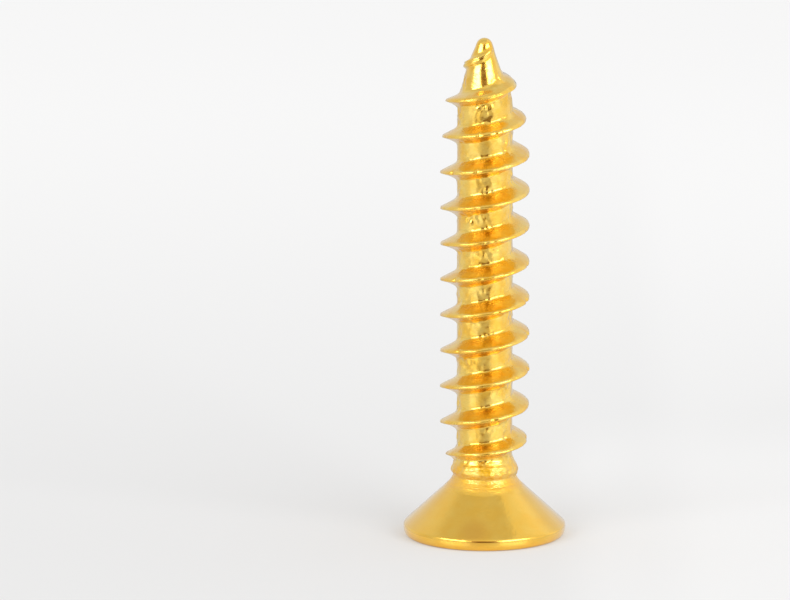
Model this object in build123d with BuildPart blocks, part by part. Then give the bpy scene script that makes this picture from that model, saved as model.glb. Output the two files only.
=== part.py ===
from build123d import *
from math import ceil, cos, radians, sin, sqrt, tan, tau
import os

# A countersunk self-tapping screw, cold headed and thread rolled from one wire.
# It stands on the flat of its head: the origin is the middle of that flat and
# +Z runs up the axis to the point. All sizes are in millimetres and degrees.

# Whole screw
overall_length = 19.62
tip_radius = 0.32          # the blunt end of the point
point_angle = 39.0         # included angle of the core at the point

# Head
head_diameter = 6.3
head_angle = 94.0          # included angle of the countersunk cone
rim_height = 0.42          # land round the widest part
rim_edge = 0.15            # the land comes in this far to the flat of the head, in two facets
rim_edge_height = 0.34     # and they start this high up it

# Neck between head and thread
neck_diameter = 2.56
neck_length = 0.45         # from the cone to the end of the full neck
neck_taper_length = 0.45   # from the neck down to the core
waist_diameter = 2.44      # the neck is slimmer where the cone meets it
waist_length = 0.26        # from there to the full neck
neck_root_radius = 0.20    # between the cone and the waist

# Thread, right-hand
major_diameter = 3.47
core_diameter = 2.15
pitch = 1.411              # eighteen threads to the inch
crest_width = 0.07
point_flank_angle = 28.0   # flank towards the point, from square to the axis
head_flank_angle = 18.5    # flank towards the head
root_height = 0.17         # height at which that flank turns into its root curve
root_width = 0.15          # how far the root curve spreads along the core
run_out_start = 0.11       # where the ridge starts, above the head's cone
run_out_rise = 0.16        # it comes out of the neck in this length
run_out_step = 0.03        # and then stands this far out of the neck
run_out_length = 1.60      # from there to the full crest
run_out_angle = -6.0       # where round the axis the ridge starts

# Crest at the point, by distance back from the tip
point_crest_start = 0.34
point_crest_rise = 0.16    # the ridge comes out of the core in this length
point_crest_radius = 0.38  # crest radius once it is out
point_crest_width = 0.26   # the crest is blunter there
crest_cone_length = 2.30
crest_cone_radius = 1.51
full_crest_length = 4.60

# Cross recess in the flat of the head
recess_mouth = 4.3         # across the ends of two opposite wings
recess_depth = 2.35
recess_wing_width = 0.95   # at the mouth
recess_tip_width = 0.70    # at the bottom
recess_wing_angle = 26.5   # wing ends, from the axis
recess_nose_angle = 140.0  # included angle of the conical floor
recess_corner_radius = 0.22

# How finely the ridge is drawn
points_per_turn = 12
ridge_sink = 0.12          # how deep the ridge is rooted in the core
end_sink = 0.08            # how deep its two ends start below the surface
least_share = 0.1          # width of those ends, as a share of the full ridge

# Sizes that follow from those
head_radius = head_diameter / 2
neck_radius = neck_diameter / 2
waist_radius = waist_diameter / 2
core_radius = core_diameter / 2
major_radius = major_diameter / 2
half_point = radians(point_angle / 2)
head_height = rim_height + (head_radius - waist_radius) / tan(radians(head_angle / 2))
neck_end = head_height + neck_length
core_start = neck_end + neck_taper_length
ball_edge_radius = tip_radius * cos(half_point)
ball_edge_height = overall_length - tip_radius + tip_radius * sin(half_point)
core_end = ball_edge_height - (core_radius - ball_edge_radius) / tan(half_point)
thread_start = head_height + run_out_start
thread_end = overall_length - point_crest_start
ridge_corners = 5
facet_inset = 1 - sqrt(0.5)


def radius_of_core(height):
    """Radius of the shank under the thread, which narrows at the point."""
    if height < core_end:
        return core_radius
    return core_radius - (height - core_end) * tan(half_point)


def radius_of_crest(height):
    """Radius of the crest: run-out at the neck, full height, taper at the point."""
    stages = [
        (thread_start, neck_radius - end_sink),
        (thread_start + run_out_rise, neck_radius + run_out_step),
        (thread_start + run_out_rise + run_out_length, major_radius),
        (overall_length - full_crest_length, major_radius),
        (overall_length - crest_cone_length, crest_cone_radius),
        (thread_end - point_crest_rise, point_crest_radius),
        (thread_end, radius_of_core(thread_end) - end_sink),
    ]
    for (low, low_radius), (high, high_radius) in zip(stages, stages[1:]):
        if height <= high:
            return low_radius + (high_radius - low_radius) * (height - low) / (high - low)
    return stages[-1][1]


def width_of_crest(height):
    """The crest is blunter on the cone of the point."""
    low = overall_length - crest_cone_length
    high = thread_end - point_crest_rise
    share = min(max((height - low) / (high - low), 0.0), 1.0)
    return crest_width + (point_crest_width - crest_width) * share


def ridge_section(height):
    """Corners of the ridge as (radius, height), from its head side to its point side."""
    full_rise = major_radius - core_radius
    rise = radius_of_crest(height) - radius_of_core(height)
    share = min(max(rise / full_rise, least_share), 1.0)
    sink = min(ridge_sink, radius_of_core(height) / 2)
    crest_low = height - width_of_crest(height) / 2
    crest_high = height + width_of_crest(height) / 2
    knee = crest_low - (full_rise - root_height) * share * tan(radians(head_flank_angle))
    low_foot = knee - root_width * (share + sink / root_height)
    high_foot = crest_high + (full_rise * share + sink) * tan(radians(point_flank_angle))
    return [
        (radius_of_core(low_foot) - sink, low_foot),
        (radius_of_core(knee) + min(root_height * share, rise), knee),
        (radius_of_crest(height), crest_low),
        (radius_of_crest(height), crest_high),
        (radius_of_core(high_foot) - sink, high_foot),
    ]


def ridge_point(corner, height):
    """One corner of the ridge where its crest line reaches the given height."""
    radius, own_height = ridge_section(height)[corner]
    angle = radians(run_out_angle) + tau * (height - thread_start) / pitch
    return Vector(radius * cos(angle), radius * sin(angle), own_height)


def ridge_rail(corner, low, high):
    """The curve that one corner of the ridge follows between two heights."""
    reach = high - low
    steps = max(4, round(points_per_turn * reach / pitch))
    shares = [step / steps for step in range(steps + 1)]
    points = [ridge_point(corner, low + reach * share) for share in shares]
    probe = reach / 10000
    slopes = [
        (ridge_point(corner, height + probe) - ridge_point(corner, height - probe)) * (reach / probe / 2)
        for height in (low, high)
    ]
    return Edge.make_spline(points, tangents=slopes, parameters=shares, scale=False)


def ridge_end(height):
    """Flat face that closes the ridge, inside the blank."""
    return Face(Wire.make_polygon([ridge_point(corner, height) for corner in range(ridge_corners)]))


def thread_ridge():
    """The whole ridge: ruled bands between its rails, turn by turn, and its two ends."""
    turns = ceil((thread_end - thread_start) / pitch)
    marks = [thread_start + (thread_end - thread_start) * turn / turns for turn in range(turns + 1)]
    faces = [ridge_end(thread_start), ridge_end(thread_end)]
    for low, high in zip(marks, marks[1:]):
        rails = [ridge_rail(corner, low, high) for corner in range(ridge_corners)]
        for rail, next_rail in zip(rails, rails[1:] + rails[:1]):
            faces.append(Face.make_surface_from_curves(rail, next_rail))
    return Solid(Shell(faces))


def cross(span, wing_width):
    """One level section of the recess, drawn on the current sketch."""
    Rectangle(span, wing_width)
    Rectangle(wing_width, span)
    Circle(span / 2, mode=Mode.INTERSECT)


# The punch that forms the recess, narrowing upwards from the flat of the head
with BuildPart() as punch:
    with BuildSketch(Plane.XY) as mouth:
        cross(recess_mouth, recess_wing_width)
        fillet(mouth.vertices().sort_by_distance((0, 0, 0))[:4], recess_corner_radius)
    with BuildSketch(Plane.XY.offset(recess_depth)) as floor:
        narrowing = 2 * recess_depth * tan(radians(recess_wing_angle))
        cross(recess_mouth - narrowing, recess_tip_width)
        fillet(floor.vertices().sort_by_distance((0, 0, recess_depth))[:4], recess_corner_radius / 2)
    loft()
    with BuildSketch(Plane.XZ):
        nose_height = recess_mouth / 2 / tan(radians(recess_nose_angle / 2))
        with BuildLine():
            Polyline(
                (0, 0),
                (recess_mouth / 2, 0),
                (recess_mouth / 2, recess_depth - nose_height),
                (0, recess_depth),
                close=True,
            )
        make_face()
    revolve(axis=Axis.Z, mode=Mode.INTERSECT)

# The screw: the turned blank, its recess, and the rolled thread
with BuildPart() as screw:
    with BuildSketch(Plane.XZ) as half_section:
        with BuildLine():
            Polyline(
                (0, 0),
                (head_radius - rim_edge, 0),
                (head_radius - rim_edge * facet_inset, rim_edge_height * facet_inset),
                (head_radius, rim_edge_height),
                (head_radius, rim_height),
                (waist_radius, head_height),
                (neck_radius, head_height + waist_length),
                (neck_radius, neck_end),
                (core_radius, core_start),
                (core_radius, core_end),
                (ball_edge_radius, ball_edge_height),
            )
            CenterArc((0, overall_length - tip_radius), tip_radius, point_angle / 2, 90 - point_angle / 2)
            Line((0, overall_length), (0, 0))
        make_face()
        neck_root = half_section.vertices().sort_by_distance((waist_radius, head_height))[0]
        fillet(neck_root, neck_root_radius)
    revolve(axis=Axis.Z)
    add(punch.part, mode=Mode.SUBTRACT)
    add(thread_ridge())

screw.part.label = "screw"

os.makedirs("parts", exist_ok=True)
export_step(screw.part, "parts/screw.step")
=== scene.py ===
import math

import bmesh
import bpy
import numpy as np
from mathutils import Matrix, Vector


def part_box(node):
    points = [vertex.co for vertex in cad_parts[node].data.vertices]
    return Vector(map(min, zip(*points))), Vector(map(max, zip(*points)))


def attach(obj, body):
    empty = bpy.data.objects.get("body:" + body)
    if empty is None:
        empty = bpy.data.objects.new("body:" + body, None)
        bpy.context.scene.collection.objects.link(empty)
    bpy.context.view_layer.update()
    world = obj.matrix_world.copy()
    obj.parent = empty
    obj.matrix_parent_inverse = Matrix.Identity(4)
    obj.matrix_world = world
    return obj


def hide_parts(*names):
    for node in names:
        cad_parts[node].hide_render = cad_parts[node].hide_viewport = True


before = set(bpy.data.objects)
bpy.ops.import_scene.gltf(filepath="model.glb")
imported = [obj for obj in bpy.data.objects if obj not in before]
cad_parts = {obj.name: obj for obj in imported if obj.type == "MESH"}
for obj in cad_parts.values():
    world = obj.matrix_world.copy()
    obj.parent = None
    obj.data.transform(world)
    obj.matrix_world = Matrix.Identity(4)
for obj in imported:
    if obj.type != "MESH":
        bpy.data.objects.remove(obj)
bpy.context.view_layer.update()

MM = 0.001

# A plated self-tapping screw that stands on the flat of its head, with +Z up its axis.
# +X is to the camera's right and +Y away from it. Sizes are in millimetres unless a
# comment says otherwise, and "back:" stands before distances back from the tip. Two
# numbers that say where something comes in are where it starts and where it is complete.

# ---- sizes of the screw --------------------------------------------------------
HIGH = np.array(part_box("screw")[1]) / MM
LENGTH = HIGH[2]
HEAD_R = HIGH[0]

# Head
RIM_HEIGHT = 0.42
RIM_EDGE = (0.15, 0.34)         # round of its lower edge: in and up
RIM_ROUND = 0.18                # round between the rim and the cone
HALF_HEAD = math.radians(47)    # half the angle of the cone
NECK_ROOT = 0.90                # hollow at the top of the cone
NECK_ROOT_END = math.radians(20)                # its slope where it meets the neck

# Cross recess in the flat of the head
RECESS_MOUTH_R = 2.15
RECESS_DEPTH = 2.35
RECESS_WIDTH = (0.95, 0.70)     # of its slots, at the mouth and at the bottom
RECESS_CORNER = (0.30, 0.16)    # round where two slots meet, there and there
RECESS_END_ROUND = 0.10         # round between a slot's sides and its end
RECESS_SLOPE = math.tan(math.radians(26.5))     # of a slot's end
NOSE_SLOPE = 1 / math.tan(math.radians(70))     # of the conical floor
RECESS_LIP = ((0.0, 0.05), (0.012, 0.02), (0.035, 0.005), (0.07, 0.0))  # its edge: out and up

# Neck
WAIST_R = 1.22                  # where the cone meets the neck
WAIST_LENGTH = 0.17             # how far it stays so slim
NECK_LIP = 0.12                 # from there to the full neck
NECK_R = 1.285
NECK_LENGTH = 0.45
NECK_TAPER = 0.45               # from the neck down to the core

# Core and point
CORE_R = 1.075
TIP_R = 0.32                    # blunt end of the point
HALF_POINT = math.radians(19.5)                 # half the angle of the point's cone
POINT_BLEND = 0.12              # round where the core turns into that cone
LEAN = ((0.3, 0.03), (0.7, 0.06), (1.2, 0.06), (1.9, 0.0))      # of the point: back and aside

# Thread, right-hand
MAJOR_R = 1.745
PITCH = 1.411
THREAD_GAP = 0.11               # from the head's cone to the start of the thread
THREAD_ANGLE = math.radians(-6)                 # where round the axis it starts
POINT_FLANK = math.tan(math.radians(27.7))      # flank towards the point
LAST_FLANK = math.tan(math.radians(22))         # the same flank on the last turns
FLANK_CHANGE = (3.6, 2.2)       # back: from the one to the other
HEAD_FLANK = math.tan(math.radians(15.1))       # flank towards the head
POINT_ROOT = 0.17               # how wide the roots of the two flanks are rounded
HEAD_ROOT = 0.68
ROOT_FULL = 0.30                # a ridge lower than this has narrower roots
LEAST_ROOT = 0.05               # the least share of the full width
CREST_HALF = (0.040, 0.13)      # half the width of the crest, on the shank and on the point
CREST_EDGE = (0.03, 0.08)       # round of its edges, there and there
CREST_CHANGE = (2.3, 0.5)       # back: from the one to the other
CREST_TILT = 0.20               # its land leans towards the point
RUN_OUT_LIFT = 0.13             # the first turn starts this much higher than the helix
LIFT_CHANGE = (1.35, 0.85)      # above the start of the thread

# Radius of the crest: above the start of the thread, and back
RUN_OUT_CREST = ((0.0, NECK_R - 0.08), (0.16, NECK_R + 0.03), (1.76, MAJOR_R))
POINT_CREST = ((4.60, MAJOR_R), (2.30, 1.51), (0.95, 0.70), (0.42, 0.40), (0.26, 0.20))

# Outlines are averaged over these shifts along the axis, which rounds their corners
NECK_SHIFTS = (-0.036, -0.012, 0.012, 0.036)
CREST_SHIFTS = (-0.12, -0.04, 0.04, 0.12)

# Sizes that follow from those
HEAD_HEIGHT = RIM_HEIGHT + (HEAD_R - WAIST_R) / math.tan(HALF_HEAD)
SHANK_LOW = HEAD_HEIGHT + WAIST_LENGTH
NECK_END = HEAD_HEIGHT + NECK_LENGTH
CORE_START = NECK_END + NECK_TAPER
BALL_EDGE_R = TIP_R * math.cos(HALF_POINT)
BALL_EDGE_Z = LENGTH - TIP_R + TIP_R * math.sin(HALF_POINT)
CORE_END = BALL_EDGE_Z - (CORE_R - BALL_EDGE_R) / math.tan(HALF_POINT)
THREAD_START = HEAD_HEIGHT + THREAD_GAP

# ---- marks of making and of wear -----------------------------------------------
SWELL_DEPTH = 0.004             # long waves all over the shank
CORE_PITS = 0.024               # hammered patches on the core
FLANK_PITS = 0.007              # and on the thread
PIT_LIMITS = (-1.2, 1.8)        # against about 1 for a usual pit
STREAK_DEPTH = 0.002            # streaks that run round the screw
FLANK_STREAKS = 0.006           # deeper by so much on the thread
NECK_STREAKS = 0.004            # and on the neck
RING_DEPTH = 0.008              # rings on the neck
RING_SPACING = 0.26
RING_WAVER = 0.04
PATCH_SHARE = 0.58              # how much of the core the patches cover
PATCH_CONTRAST = 1.1            # and how sharply they end
NECK_PATCH = 0.7                # the neck is covered at least so strongly
SCARS = ((-0.57, 12.58), (-0.66, 6.90), (-0.08, 16.96))         # bruised spots: across and up
SCAR_EDGE = (0.375, 0.125)      # from the middle of each
SCAR_STRENGTH = 2.2
CREST_WEAR = 0.010              # waves along the crest
NICK_DEPTH = 0.08               # and nicks in it
NICK_LEVEL = 0.7                # where the waves are stronger than this
NICK_LIMIT = 1.2                # by at most so much

# Where marks come in
FLANK_MARKS = (0.30, 0)         # above the core: from the thread's marks to the core's
NECK_MARKS = (CORE_START, CORE_START - 0.3)
MARKS_LOW = (SHANK_LOW, SHANK_LOW + 0.1)        # none where the shank meets the head
MARKS_BACK = (0.25, 1.45)       # back: none on the tip
WEAR_BACK = (1.5, 2.0)          # back: no wear on the point

# ---- where the mesh has its loops ----------------------------------------------
COLUMNS = 192
ANGLES = np.arange(COLUMNS) * math.tau / COLUMNS
OUTLINE_STEPS = 8000            # how finely the recess's outline is traced
EVEN_SHARE = 0.75               # its columns are spread by length, the rest by angle
FLOOR_LOOPS = (0.12, 0.35, 0.6, 0.85, 0.97)     # share of the way out over the recess's floor
WALL_LOOPS = (0.985, 0.95, 0.85, 0.7, 0.55, 0.4, 0.25, 0.12, 0.05)      # height up its wall
FLAT_LOOPS = (0.25, 0.5, 0.75, 0.92, 1.0)       # and out over the flat of the head
RIM_EDGE_LOOPS = 9              # how many loops the head's rounds and its cone have
RIM_ROUND_LOOPS = 8
CONE_LOOPS = 10
NECK_ROOT_LOOPS = 10
TIP_LOOPS = 9                   # and the end of the point
CONE_GAP = 0.12                 # from the rim to the first loop of the cone proper
ROWS = np.concatenate([         # one pitch of rows along the shank, from the crest
    np.linspace(-0.70, -0.30, 8, endpoint=False),       # core and root below the ridge
    np.linspace(-0.30, -0.045, 6, endpoint=False),      # flank towards the head
    [-0.045, -0.018, 0.018, 0.045],                     # crest
    np.linspace(0.10, 0.36, 5),                         # flank towards the point
    np.linspace(0.42, 0.63, 4),                         # core above the ridge
])
MERGE_GAP = 4e-7                # metres: vertices nearer than this become one

# ---- plating -------------------------------------------------------------------
DEEP_GOLD = (0.97, 0.54, 0.002, 1)
PALE_GOLD = (0.97, 0.655, 0.09, 1)
PALE_NOISE = (1.8, 4)           # a noise's scale in each millimetre, and its detail
PALE_PATCHES = (0.38, 0.62)     # of that noise: from deep to pale gold
WARM_SPOT_GOLD = (0.86, 0.44, 0.001, 1)
WARM_SPOT = (-0.42, -2.85, 0.72)    # a faint warm, darker spot low on the front of the cone
WARM_SPOT_EDGE = (0.15, 0.90)       # from the middle of it
WARM_SPOT_STRENGTH = 0.8
CONE_CONTRAST = 0.30            # the patches are fainter on the cone
CONE_PALER = 0.05
COAT_IOR = 1.78
COAT_ROUGHNESS = 0.18

# Roughness of the metal, and what is added to it in places
ROLLED = (0.17, 0.27)
ROLLED_NOISE = (3.5, 4)
ROLLED_PATCHES = (0.3, 0.7)     # of that noise: from the one to the other
ROUGHER_NECK = 0.34
ROUGHER_FLANKS = 0.09
SMOOTHER_HEAD = -0.06
SMOOTHER_POINT = -0.04

# Fine relief in the shading, against 1 for its grain
GRAIN_NOISE = (7.0, 2)
NECK_BRUSHING = 14.0
BRUSHING_NOISE = (1.0, 4)
BRUSHING_STRETCH = (0.9, 0.9, 5.0)              # it runs round the screw
THREAD_DIMPLES = 3.0
DIMPLE_NOISE = (2.4, 3)
POINT_DIMPLES = 0.2             # share of them left on the point
RELIEF_STRENGTH = 0.55
RELIEF_HEIGHT = 0.01

# Where one part's look turns into the next one's
NECK_LOOK = (HEAD_HEIGHT - 0.40, HEAD_HEIGHT - 0.15)
CONE_TOP = (HEAD_HEIGHT - 0.1, HEAD_HEIGHT + 0.3)
THREAD_LOOK = (HEAD_HEIGHT + 0.5, HEAD_HEIGHT + 0.9)
POINT_LOOK = (LENGTH - 2.6, LENGTH - 1.8)
FLANK_LOOK = (CORE_R + 0.05, CORE_R + 0.3)

# ---- light tent ----------------------------------------------------------------
# How bright its parts are, and the values of a direction's X, Y or Z where each comes in
TENT_TOP = 0.66                 # overhead; the others are added to it
TENT_RIGHT, RIGHT_EDGE = 0.23, (0.38, 0.45)
RIGHT_AWAY, RIGHT_AWAY_EDGE = 0.2, (0.40, 0.70)         # share of it left behind the screw
TENT_LEFT, LEFT_EDGE = 0.05, (-0.54, -0.63)
TENT_FACE, FACE_EDGE = 0.16, (-0.17, -0.30)             # over the camera
TENT_BACK, BACK_EDGE = 0.09, (0.12, 0.35)               # behind the screw
GAP_LEVEL = 0.14                # the dim gap in front, where the camera stands
GAP_COLOUR = (1.4, 0.75, 0.3, 1)                        # it is a little warm
GAP_SIDE, GAP_AWAY, GAP_TOP = (0.22, 0.34), (-0.6, -0.4), (0.48, 0.58)
BACKDROP = 0.92                 # what the camera sees past the table

# Two softboxes
BOX_DISTANCE, BOX_HEIGHT = 0.5, 0.12            # metres
BOX_ELEVATION = math.radians(26)

# ---- table ---------------------------------------------------------------------
FLOOR_HALF = 1.5                # metres
FLOOR_DROP = 0.01               # how far below the screw it is

# As the camera sees it: its colour, and how much it glows
FLOOR_MATT = 0.52
FLOOR_LIFT, LIFT_REACH = (0.288, 0.425), (-10, 90)      # near and far
BESIDE_PAINTED_LIGHT = 0.050             # painted light: more glow on the right, which lightens the shadow beside the head
BESIDE_SIDE, BESIDE_AWAY = (2, 5), (10, 22)     # across, and away from the camera
ASIDE_PAINTED_LIGHT = 0.025              # and more painted light further to the right
ASIDE_SIDE, ASIDE_AWAY = (6, 9), (50, 100)

# As the screw reflects it, with painted reflections that the camera doesn't see
FLOOR_SATIN = 0.66              # its colour
NEAR_PAINTED_LIGHT, NEAR_EDGE = 0.84, (4, 8)            # painted light: paler right beside the head, in reflections only, and where that ends
FLOOR_GLOSS = 0.25              # its roughness
PAINTED_CARDS_START = (8, 16)           # from here outwards it has painted white cards, painted reflections in the metal
PAINTED_REFLECTION_CARDS = (                       # azimuth from and to, soft edge (degrees), and brightness
    (24, 120, 20, 0.29),
    (-28, -115, -12, 0.13),
    (-26, -58, -12, 0.17),
)

# ---- camera: a long lens, a little above the screw -----------------------------
CAMERA_ELEVATION = math.radians(12.4)
CAMERA_DISTANCE = 450.0
CAMERA_AIM = (-3.476, 0, 9.945)                 # the screw stands right of the middle
CAMERA_DROP = 0.656             # the aim is moved down by this, square to the view
VIEW_WIDTH = 30.584592          # how much of the scene is in view, across the screw
SENSOR_WIDTH = 36
CAMERA_CLIP = (0.005, 10)       # metres


# ---- small helpers for the shapes ----------------------------------------------
def climb(value, start, end):
    """0 at the start, 1 at the end and straight between; the end may be the lower."""
    return np.clip((value - start) / (end - start), 0, 1)


def between(pair, share):
    """From the first number of a pair to the second."""
    return pair[0] + (pair[1] - pair[0]) * share


def smooth_max(a, b, width):
    """The larger of two values, with a round of the given width where they meet."""
    share = np.clip(0.5 + 0.5 * (a - b) / width, 0, 1)
    return b + (a - b) * share + width * share * (1 - share)


def smooth_min(a, b, width):
    """The smaller of two values, with such a round."""
    return -smooth_max(-a, -b, width)


def outline(z, heights, radii, shifts):
    """Radius at a height on an outline of straight lines with rounded corners."""
    return sum(np.interp(z + shift, heights, radii) for shift in shifts) / len(shifts)


# ---- surface marks: seeded waves that stand for die marks and small dents ------
def waves(seed, count, low, high, stretch=1.0):
    """Random waves: their vectors for lengths from low to high, and their phases.

    Stretch makes them longer round the screw than along it.
    """
    rng = np.random.default_rng(seed)
    direction = rng.normal(size=(count, 3))
    direction /= np.linalg.norm(direction, axis=1)[:, None]
    length = np.exp(rng.uniform(math.log(low), math.log(high), count))
    vectors = direction * math.tau / length[:, None] / (stretch, stretch, 1)
    return vectors, rng.uniform(0, math.tau, count)


# Seed, how many, shortest and longest, and the stretch
SWELL = waves(3, 24, 0.9, 2.2)
HAMMER = waves(11, 80, 0.18, 0.55)
PATCHES = waves(5, 24, 0.6, 1.6)
STREAKS = waves(21, 40, 0.16, 0.40, 3.0)
NICKS = waves(8, 40, 0.25, 0.7)


def ripple(radius, angle, z, field):
    """The waves added up at each point, mostly within -1 to 1."""
    across, away = radius * np.cos(angle), radius * np.sin(angle)
    points = np.stack(np.broadcast_arrays(across, away, z), axis=-1)
    vectors, phases = field
    return np.sin(points @ vectors.T + phases).sum(axis=-1) / math.sqrt(2 * len(phases))


# ---- shank: the radius at an angle and a height --------------------------------
def core_radius(z):
    """The shank under the thread: neck, taper, core and point."""
    heights = [HEAD_HEIGHT, SHANK_LOW, SHANK_LOW + NECK_LIP, NECK_END, CORE_START]
    radii = [WAIST_R, WAIST_R, NECK_R, NECK_R, CORE_R]
    neck = outline(z, heights, radii, NECK_SHIFTS)
    point = CORE_R - (z - CORE_END) * math.tan(HALF_POINT)
    return smooth_min(neck, point, POINT_BLEND)


def crest_radius(z):
    """The thread's crest: run-out at the neck, full height, taper at the point."""
    heights = [THREAD_START + up for up, _ in RUN_OUT_CREST]
    heights += [LENGTH - back for back, _ in POINT_CREST]
    radii = [radius for _, radius in RUN_OUT_CREST + POINT_CREST]
    return outline(z, heights, radii, CREST_SHIFTS)


def crest_wear(angle, z):
    """How much the crest has lost to small nicks and waves."""
    mark = ripple(MAJOR_R, angle, z, NICKS)
    wave = CREST_WEAR * np.clip(1 + mark, 0, 2)
    nick = NICK_DEPTH * np.clip(mark - NICK_LEVEL, 0, NICK_LIMIT)
    return (wave + nick) * climb(LENGTH - z, *WEAR_BACK)


def shank_radius(angle, z):
    """The whole threaded shank: the ridge stands on the core with round roots."""
    phase = THREAD_START + PITCH * (angle - THREAD_ANGLE) / math.tau
    offset = (z - phase + PITCH / 2) % PITCH - PITCH / 2
    lag = climb(z - offset - THREAD_START, *LIFT_CHANGE)
    offset = offset - RUN_OUT_LIFT * lag * lag * (3 - 2 * lag)
    crest_z = z - offset            # height of the crest that the place belongs to
    crest = crest_radius(crest_z)
    core = core_radius(z)
    on_point = climb(LENGTH - crest_z, *CREST_CHANGE)
    half = between(CREST_HALF, on_point)
    last_turns = climb(LENGTH - crest_z, *FLANK_CHANGE)
    slope = np.where(offset > 0, between((POINT_FLANK, LAST_FLANK), last_turns), HEAD_FLANK)
    root = np.where(offset > 0, POINT_ROOT, HEAD_ROOT)
    root = root * np.clip((crest - core) / ROOT_FULL, LEAST_ROOT, 1)
    flank = crest - np.maximum(np.abs(offset) - half, 0) / slope
    land = crest - crest_wear(angle, crest_z) - CREST_TILT * (offset + half) * (1 - on_point)
    ridge = smooth_min(flank, land, between(CREST_EDGE, on_point))
    return smooth_max(ridge, core, root)


def hammering(radius, angle, z, at_neck):
    """How strongly a place is pitted: patches, the neck, and the scars in front."""
    strength = PATCH_SHARE + PATCH_CONTRAST * ripple(radius, angle, z, PATCHES)
    strength = np.maximum(np.clip(strength, 0, 1), NECK_PATCH * at_neck)
    in_front = np.sin(angle) < 0
    for across, up in SCARS:
        away = np.hypot(radius * np.cos(angle) - across, z - up)
        scar = SCAR_STRENGTH * climb(away, *SCAR_EDGE) * in_front
        strength = np.maximum(strength, scar)
    return strength


def dented_radius(angle, z):
    """The shank with what the rolling dies left: swell, pits, streaks and neck rings."""
    radius = shank_radius(angle, z)
    on_core = climb(radius - core_radius(z), *FLANK_MARKS)
    on_flank = 1 - on_core
    at_neck = climb(z, *NECK_MARKS)
    swell = ripple(radius, angle, z, SWELL)
    streaks = ripple(radius, angle, z, STREAKS)
    pits = np.clip(ripple(radius, angle, z, HAMMER), *PIT_LIMITS)
    pits = pits * hammering(radius, angle, z, at_neck)
    rings = np.sin(math.tau * (z + RING_WAVER * swell) / RING_SPACING)
    depth = SWELL_DEPTH * swell
    depth = depth + pits * (CORE_PITS * on_core + FLANK_PITS * on_flank)
    depth = depth + streaks * (STREAK_DEPTH + FLANK_STREAKS * on_flank + NECK_STREAKS * at_neck)
    depth = depth + RING_DEPTH * rings * at_neck * on_core
    return radius - depth * climb(LENGTH - z, *MARKS_BACK) * climb(z, *MARKS_LOW)


# ---- mesh of the whole screw, loop by loop -------------------------------------
def ring(radius, z):
    """A loop of vertices round the axis; radius and z may differ along it."""
    radius = np.broadcast_to(radius, COLUMNS)
    z = np.broadcast_to(z, COLUMNS)
    return np.stack([radius * np.cos(ANGLES), radius * np.sin(ANGLES), z], axis=1)


def shank_ring(z):
    """A loop of the shank."""
    return ring(dented_radius(ANGLES, np.broadcast_to(z, COLUMNS)), z)


def cross_loop(span, width, inner_round):
    """The recess's outline: two crossed slots with round corners, one vertex a column."""
    angle = np.linspace(0, math.tau, OUTLINE_STEPS + 1)
    along_x, along_y = (
        np.minimum(width / 2 / np.maximum(np.abs(side), 1e-6), 2 * span)
        for side in (np.sin(angle), np.cos(angle))
    )
    radius = smooth_min(span, smooth_max(along_x, along_y, inner_round), RECESS_END_ROUND)
    x, y = radius * np.cos(angle), radius * np.sin(angle)
    length = np.concatenate([[0], np.cumsum(np.hypot(np.diff(x), np.diff(y)))])
    share = EVEN_SHARE * length / length[-1] + (1 - EVEN_SHARE) * angle / math.tau
    steps = np.arange(COLUMNS) / COLUMNS
    return np.stack([np.interp(steps, share, x), np.interp(steps, share, y)], axis=1)


def outward(loop, distance):
    """A flat loop moved outwards along its own normals."""
    run = np.roll(loop, -1, axis=0) - np.roll(loop, 1, axis=0)
    normal = np.stack([run[:, 1], -run[:, 0]], axis=1)
    return loop + distance * normal / np.linalg.norm(normal, axis=1)[:, None]


def recess_loops():
    """From the middle of the recess's floor out to its mouth in the flat of the head."""
    bottom_r = RECESS_MOUTH_R - RECESS_DEPTH * RECESS_SLOPE
    mouth = cross_loop(RECESS_MOUTH_R, RECESS_WIDTH[0], RECESS_CORNER[0])
    bottom = cross_loop(bottom_r, RECESS_WIDTH[1], RECESS_CORNER[1])

    def wall(z):
        share = (z / RECESS_DEPTH)[:, None]
        return mouth * (1 - share) + bottom * share

    # Where the wall meets the cone of the floor: each step comes much nearer to it
    floor_z = np.full(COLUMNS, RECESS_DEPTH)
    for _ in range(30):
        floor_z = RECESS_DEPTH - np.linalg.norm(wall(floor_z), axis=1) * NOSE_SLOPE
    foot = wall(floor_z)
    loops = []
    for share in FLOOR_LOOPS:
        z = RECESS_DEPTH - np.linalg.norm(foot, axis=1) * share * NOSE_SLOPE
        loops.append(np.column_stack([foot * share, z]))
    for share in WALL_LOOPS:
        loops.append(np.column_stack([wall(floor_z * share), floor_z * share]))
    for out, up in RECESS_LIP:
        loops.append(np.column_stack([outward(mouth, out), np.full(COLUMNS, up)]))
    return loops


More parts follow.
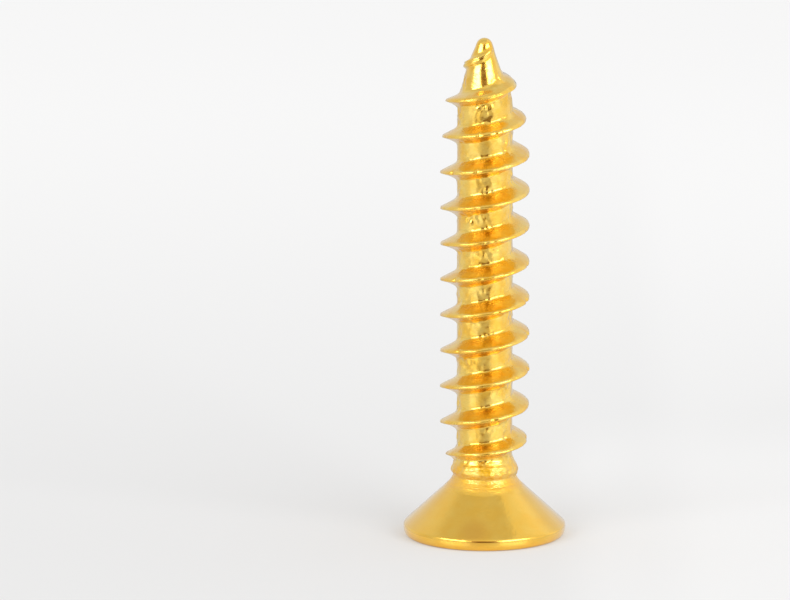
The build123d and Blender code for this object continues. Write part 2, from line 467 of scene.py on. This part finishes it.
def head_loops(face):
    """From the recess's mouth over the flat, the rim and the cone up to the neck."""
    edge_in, edge_up = RIM_EDGE
    edge = ring(HEAD_R - edge_in, 0)
    loops = [face * (1 - share) + edge * share for share in FLAT_LOOPS]
    for turn in np.linspace(0, math.pi / 2, RIM_EDGE_LOOPS)[1:]:
        in_by, up_by = edge_in * (1 - math.sin(turn)), edge_up * (1 - math.cos(turn))
        loops.append(ring(HEAD_R - in_by, up_by))
    round_z = RIM_HEIGHT - RIM_ROUND * math.tan(HALF_HEAD / 2)
    for turn in np.linspace(0, HALF_HEAD, RIM_ROUND_LOOPS):
        in_by, up_by = RIM_ROUND * (1 - math.cos(turn)), RIM_ROUND * math.sin(turn)
        loops.append(ring(HEAD_R - in_by, round_z + up_by))
    hollow_r = WAIST_R + NECK_ROOT * (math.cos(NECK_ROOT_END) - math.cos(HALF_HEAD))
    hollow_z = RIM_HEIGHT + (HEAD_R - hollow_r) / math.tan(HALF_HEAD)
    for z in np.linspace(RIM_HEIGHT + CONE_GAP, hollow_z, CONE_LOOPS):
        loops.append(ring(HEAD_R - (z - RIM_HEIGHT) * math.tan(HALF_HEAD), z))
    for turn in np.linspace(HALF_HEAD, NECK_ROOT_END, NECK_ROOT_LOOPS)[1:]:
        in_by = NECK_ROOT * (math.cos(turn) - math.cos(HALF_HEAD))
        up_by = NECK_ROOT * (math.sin(HALF_HEAD) - math.sin(turn))
        loops.append(ring(hollow_r - in_by, hollow_z + up_by))
    return loops


def shank_rows():
    """Rows that follow the thread: after a full turn, each meets the one a pitch above."""
    first = THREAD_START - PITCH * THREAD_ANGLE / math.tau
    first -= PITCH * math.ceil((first + 2 * PITCH - SHANK_LOW) / PITCH)
    turns = math.ceil((BALL_EDGE_Z - first) / PITCH) + 1
    rows = []
    for turn in range(turns):
        for offset in ROWS:
            z = first + PITCH * (turn + ANGLES / math.tau) + offset
            rows.append(shank_ring(np.clip(z, SHANK_LOW, BALL_EDGE_Z)))
    return rows


def tip_loops():
    """The rounded end of the point."""
    turns = np.linspace(HALF_POINT, math.pi / 2, TIP_LOOPS)[1:-1]
    return [ring(TIP_R * math.cos(t), LENGTH - TIP_R + TIP_R * math.sin(t)) for t in turns]


def build_screw():
    """One closed mesh of the whole screw."""
    low_loops = recess_loops()
    low_loops += head_loops(low_loops[-1])
    low_loops.append(shank_ring(SHANK_LOW))
    rows = shank_rows()
    high_loops = [shank_ring(BALL_EDGE_Z)] + tip_loops()
    centres = [[0, 0, RECESS_DEPTH], [0, 0, LENGTH]]
    points = np.concatenate(low_loops + rows + high_loops + [centres])
    points[:, 0] -= np.interp(LENGTH - points[:, 2], *zip(*LEAN))
    faces = []

    def bridge(start, count, jump=0):
        """Join loops; the last column meets the first one, so many loops further on."""
        end = start + count
        for loop in range(start, end - 1):
            for column in range(COLUMNS):
                a = loop * COLUMNS + column
                b = a + 1
                if column == COLUMNS - 1:
                    if loop + 1 + jump >= end:
                        continue
                    b = (loop + jump) * COLUMNS
                faces.append((a, b, b + COLUMNS, a + COLUMNS))

    top = len(low_loops) + len(rows)
    bridge(0, len(low_loops))
    bridge(len(low_loops), len(rows), jump=len(ROWS))
    bridge(top, len(high_loops))
    floor_centre, tip_centre = len(points) - 2, len(points) - 1
    last = (top + len(high_loops) - 1) * COLUMNS
    for column in range(COLUMNS):
        after = (column + 1) % COLUMNS
        faces.append((floor_centre, after, column))
        faces.append((last + column, last + after, tip_centre))

    mesh = bpy.data.meshes.new("screw_surface")
    mesh.from_pydata((points * MM).tolist(), [], faces)
    bm = bmesh.new()
    bm.from_mesh(mesh)
    # Rows that were held at either end of the shank fall together with its end loop
    bmesh.ops.remove_doubles(bm, verts=bm.verts, dist=MERGE_GAP)
    bmesh.ops.recalc_face_normals(bm, faces=bm.faces)
    bm.to_mesh(mesh)
    bm.free()
    mesh.shade_smooth()
    screw = bpy.data.objects.new("plated_screw", mesh)
    bpy.context.scene.collection.objects.link(screw)
    return screw


# ---- materials -----------------------------------------------------------------
class Graph:
    """A node tree that is being built. A value in it is a number, a tuple or an output."""

    def __init__(self, tree):
        self.nodes, self.links = tree.nodes, tree.links
        self.nodes.clear()

    def add(self, kind, inputs=None, **settings):
        """A new node, with its inputs by name or number."""
        node = self.nodes.new("ShaderNode" + kind)
        for name, setting in settings.items():
            setattr(node, name, setting)
        for key, value in (inputs or {}).items():
            if isinstance(value, bpy.types.NodeSocket):
                self.links.new(value, node.inputs[key])
            else:
                node.inputs[key].default_value = value
        return node

    def math(self, operation, *values):
        return self.add("Math", dict(enumerate(values)), operation=operation).outputs["Value"]

    def total(self, first, *others):
        for other in others:
            first = self.math("ADD", first, other)
        return first

    def product(self, first, *others):
        for other in others:
            first = self.math("MULTIPLY", first, other)
        return first

    def distance(self, place, point=(0, 0, 0)):
        """How far a place is from a point."""
        node = self.add("VectorMath", {0: place, 1: point}, operation="DISTANCE")
        return node.outputs["Value"]

    def stretched(self, place, scale):
        return self.add("Mapping", {"Vector": place, "Scale": scale}).outputs["Vector"]

    def axes(self, place):
        """X, Y and Z of a place or a direction."""
        return self.add("SeparateXYZ", {"Vector": place}).outputs

    def ramp(self, source, edge, low, high, kind="SMOOTHSTEP"):
        """From low, where an edge starts, to high, where it is complete."""
        values = dict(enumerate((source, *edge, low, high)))
        return self.add("MapRange", values, interpolation_type=kind).outputs["Result"]

    def noise(self, place, scale, detail):
        inputs = {"Vector": place, "Scale": scale, "Detail": detail, "Roughness": 0.6}
        return self.add("TexNoise", inputs).outputs["Fac"]

    def blend(self, share, first, second):
        """A colour between two others."""
        inputs = {"Factor": share, 6: first, 7: second}
        return self.add("Mix", inputs, data_type="RGBA").outputs[2]

    def output(self, kind, lit, seen):
        """One shader in reflections and for the light, another straight to the camera."""
        straight = self.add("LightPath").outputs["Is Camera Ray"]
        mix = self.add("MixShader", {"Fac": straight, 1: lit, 2: seen})
        self.add("Output" + kind, {"Surface": mix.outputs["Shader"]})


def new_material(name):
    """A material, and the graph for its empty node tree."""
    material = bpy.data.materials.new(name)
    material.use_nodes = True
    return material, Graph(material.node_tree)


def gold_plating():
    """Bright yellow plating: smooth on the head, brushed at the neck, dimpled by the dies."""
    material, graph = new_material("bright_yellow_plating")
    place = graph.stretched(graph.add("TexCoord").outputs["Object"], (1 / MM,) * 3)
    height = graph.axes(place)["Z"]
    radius = graph.distance(graph.stretched(place, (1, 1, 0)))
    headed = graph.ramp(height, THREAD_LOOK, 1.0, 0.0)
    threaded = graph.math("SUBTRACT", 1.0, headed)
    at_neck = graph.product(graph.ramp(height, NECK_LOOK, 0.0, 1.0), headed)

    paler = graph.ramp(graph.noise(place, *PALE_NOISE), PALE_PATCHES, 0.0, 1.0, "LINEAR")
    paler = graph.product(paler, graph.ramp(height, CONE_TOP, CONE_CONTRAST, 1.0))
    paler = graph.total(paler, graph.ramp(height, CONE_TOP, CONE_PALER, 0.0))
    # A faint warm, darker spot low on the front of the cone
    warm_spot = graph.ramp(graph.distance(place, WARM_SPOT), WARM_SPOT_EDGE, WARM_SPOT_STRENGTH, 0.0)
    colour = graph.blend(warm_spot, graph.blend(paler, DEEP_GOLD, PALE_GOLD), WARM_SPOT_GOLD)

    roughness = graph.total(
        graph.product(at_neck, ROUGHER_NECK),
        graph.product(headed, SMOOTHER_HEAD),
        graph.ramp(height, POINT_LOOK, 0.0, SMOOTHER_POINT),
        graph.product(graph.ramp(radius, FLANK_LOOK, 0.0, ROUGHER_FLANKS), threaded),
        graph.ramp(graph.noise(place, *ROLLED_NOISE), ROLLED_PATCHES, *ROLLED, "LINEAR"),
    )

    grain = graph.noise(place, *GRAIN_NOISE)
    brushing = graph.noise(graph.stretched(place, BRUSHING_STRETCH), *BRUSHING_NOISE)
    brushing = graph.product(brushing, graph.product(at_neck, NECK_BRUSHING))
    on_point = graph.ramp(height, POINT_LOOK, 1.0, POINT_DIMPLES)
    dimples = graph.product(threaded, THREAD_DIMPLES, on_point)
    dimples = graph.product(graph.noise(place, *DIMPLE_NOISE), dimples)
    relief = graph.add("Bump", {
        "Strength": RELIEF_STRENGTH,
        "Distance": RELIEF_HEIGHT * MM,
        "Height": graph.total(grain, graph.total(brushing, dimples)),
    }).outputs["Normal"]

    shader = graph.add("BsdfPrincipled", {
        "Base Color": colour,
        "Metallic": 1.0,
        "Roughness": roughness,
        "Normal": relief,
        "Coat Weight": 1.0,
        "Coat Roughness": COAT_ROUGHNESS,
        "Coat IOR": COAT_IOR,
        "Coat Normal": relief,
    })
    graph.add("OutputMaterial", {"Surface": shader.outputs["BSDF"]})
    return material


def pale_floor():
    """White table: matt straight to the camera, satin with painted white cards and painted light
    in the metal's reflections.
    """
    material, graph = new_material("pale_floor")
    place = graph.add("TexCoord").outputs["Object"]
    across, away, _ = graph.axes(place)
    reach = graph.distance(place)
    azimuth = graph.math("ARCTAN2", across, graph.product(away, -1.0))

    def ramp(source, edge, low, high):
        """A ramp with its ends in millimetres."""
        return graph.ramp(source, [end * MM for end in edge], low, high)

    def painted_card(start, end, soft, white):
        """A painted white card between two azimuths, with soft edges; only the screw's
        reflections show it.
        """
        rise, fall = ([math.radians(a) for a in (side, side + soft)] for side in (start, end))
        return graph.total(
            graph.ramp(azimuth, rise, 0.0, white), graph.ramp(azimuth, fall, 0.0, -white)
        )

    # Painted reflections: white cards on the floor that only the screw's reflections and bounce
    # light see
    white = graph.total(*(painted_card(*sizes) for sizes in PAINTED_REFLECTION_CARDS))
    white = graph.product(white, ramp(reach, PAINTED_CARDS_START, 0.0, 1.0))
    # Painted light: the reflected floor is paler right beside the head, where its shadow falls
    white = graph.total(white, FLOOR_SATIN, ramp(reach, NEAR_EDGE, NEAR_PAINTED_LIGHT - FLOOR_SATIN, 0.0))
    tint = graph.add("CombineColor", {"Red": white, "Green": white, "Blue": white})
    looks = {"Base Color": tint.outputs["Color"], "Roughness": FLOOR_GLOSS}
    satin = graph.add("BsdfPrincipled", looks)

    # Painted light: the floor glows more right of the screw, over the head's shadow and beyond
    beside = ramp(across, BESIDE_SIDE, 0.0, BESIDE_PAINTED_LIGHT)
    beside = graph.product(beside, ramp(away, BESIDE_AWAY, 1.0, 0.0))
    aside = ramp(across, ASIDE_SIDE, 0.0, ASIDE_PAINTED_LIGHT)
    aside = graph.product(aside, ramp(away, ASIDE_AWAY, 1.0, 0.0))
    glow = graph.total(ramp(away, LIFT_REACH, *FLOOR_LIFT), graph.total(beside, aside))
    lift = graph.add("Emission", {"Strength": glow})
    matt = graph.add("BsdfDiffuse", {"Color": (FLOOR_MATT, FLOOR_MATT, FLOOR_MATT, 1)})
    seen = graph.add("AddShader", {0: matt.outputs["BSDF"], 1: lift.outputs["Emission"]})
    graph.output("Material", satin.outputs["BSDF"], seen.outputs["Shader"])
    return material


# ---- stage, light and camera ---------------------------------------------------
def build_floor():
    """A wide table just below the screw."""
    mesh = bpy.data.meshes.new("floor_surface")
    signs = ((-1, -1), (1, -1), (1, 1), (-1, 1))
    corners = [(x * FLOOR_HALF, y * FLOOR_HALF, 0) for x, y in signs]
    mesh.from_pydata(corners, [], [(0, 1, 2, 3)])
    floor = bpy.data.objects.new("floor", mesh)
    floor.location.z = -FLOOR_DROP * MM
    floor.data.materials.append(pale_floor())
    bpy.context.scene.collection.objects.link(floor)


def direction(azimuth, elevation):
    """From the screw outwards; azimuth 0 is towards the camera and grows to the right."""
    level = math.cos(elevation)
    return Vector((math.sin(azimuth) * level, -math.cos(azimuth) * level, math.sin(elevation)))


def aimed(name, data, location, back):
    """A lamp or a camera that looks against the given direction."""
    holder = bpy.data.objects.new(name, data)
    holder.location = location
    holder.rotation_mode = "QUATERNION"
    holder.rotation_quaternion = (-back).to_track_quat("-Z", "Y")
    bpy.context.scene.collection.objects.link(holder)
    return holder


def softbox(name, azimuth, width, strength):
    """A rectangular lamp that faces the middle of the screw; strength 1 looks white in it."""
    lamp = bpy.data.lights.new(name, "AREA")
    lamp.shape = "RECTANGLE"
    lamp.size, lamp.size_y = width, BOX_HEIGHT
    lamp.energy = strength * width * BOX_HEIGHT * math.pi
    back = direction(math.radians(azimuth), BOX_ELEVATION)
    middle = Vector((0, 0, LENGTH / 2 * MM))
    holder = aimed(name, lamp, middle + back * BOX_DISTANCE, back)
    holder.visible_camera = False


def build_world():
    """A light tent: bright sides, a middling top and a dim gap in front."""
    world = bpy.data.worlds.new("studio")
    world.use_nodes = True
    graph = Graph(world.node_tree)
    x, y, z = graph.axes(graph.add("TexCoord").outputs["Generated"])
    right = graph.product(
        graph.ramp(x, RIGHT_EDGE, 0.0, TENT_RIGHT),
        graph.ramp(y, RIGHT_AWAY_EDGE, 1.0, RIGHT_AWAY),
    )
    left = graph.ramp(x, LEFT_EDGE, 0.0, TENT_LEFT)
    gap = graph.product(
        graph.ramp(graph.math("ABSOLUTE", x), GAP_SIDE, 1.0, 0.0),
        graph.ramp(y, GAP_AWAY, 1.0, 0.0),
        graph.ramp(z, GAP_TOP, 1.0, 0.0),
    )
    brightness = graph.total(
        graph.total(right, left),
        graph.product(gap, GAP_LEVEL - TENT_TOP - TENT_FACE),
        TENT_TOP,
        graph.ramp(y, FACE_EDGE, 0.0, TENT_FACE),
        graph.ramp(y, BACK_EDGE, 0.0, TENT_BACK),
    )
    tint = graph.blend(gap, (1, 1, 1, 1), GAP_COLOUR)
    light = graph.add("Background", {"Color": tint, "Strength": brightness})
    backdrop = graph.add("Background", {"Color": (BACKDROP, BACKDROP, BACKDROP, 1)})
    graph.output("World", light.outputs["Background"], backdrop.outputs["Background"])
    bpy.context.scene.world = world


def build_camera():
    """The camera, with the lens that gives the wanted width of view."""
    back = direction(0, CAMERA_ELEVATION)
    above = Vector((0, math.sin(CAMERA_ELEVATION), math.cos(CAMERA_ELEVATION)))
    aim = Vector(CAMERA_AIM) - above * CAMERA_DROP
    data = bpy.data.cameras.new("camera")
    data.sensor_width = SENSOR_WIDTH
    data.lens = SENSOR_WIDTH * CAMERA_DISTANCE / VIEW_WIDTH
    data.clip_start, data.clip_end = CAMERA_CLIP
    bpy.context.scene.camera = aimed("camera", data, (aim + back * CAMERA_DISTANCE) * MM, back)


screw = build_screw()
screw.data.materials.append(gold_plating())
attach(screw, "root")
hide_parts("screw")

build_floor()
build_world()
softbox("left_box", azimuth=-46, width=0.33, strength=6.0)
softbox("right_box", azimuth=45, width=0.35, strength=6.5)
build_camera()
bpy.context.scene.view_settings.view_transform = "Standard"
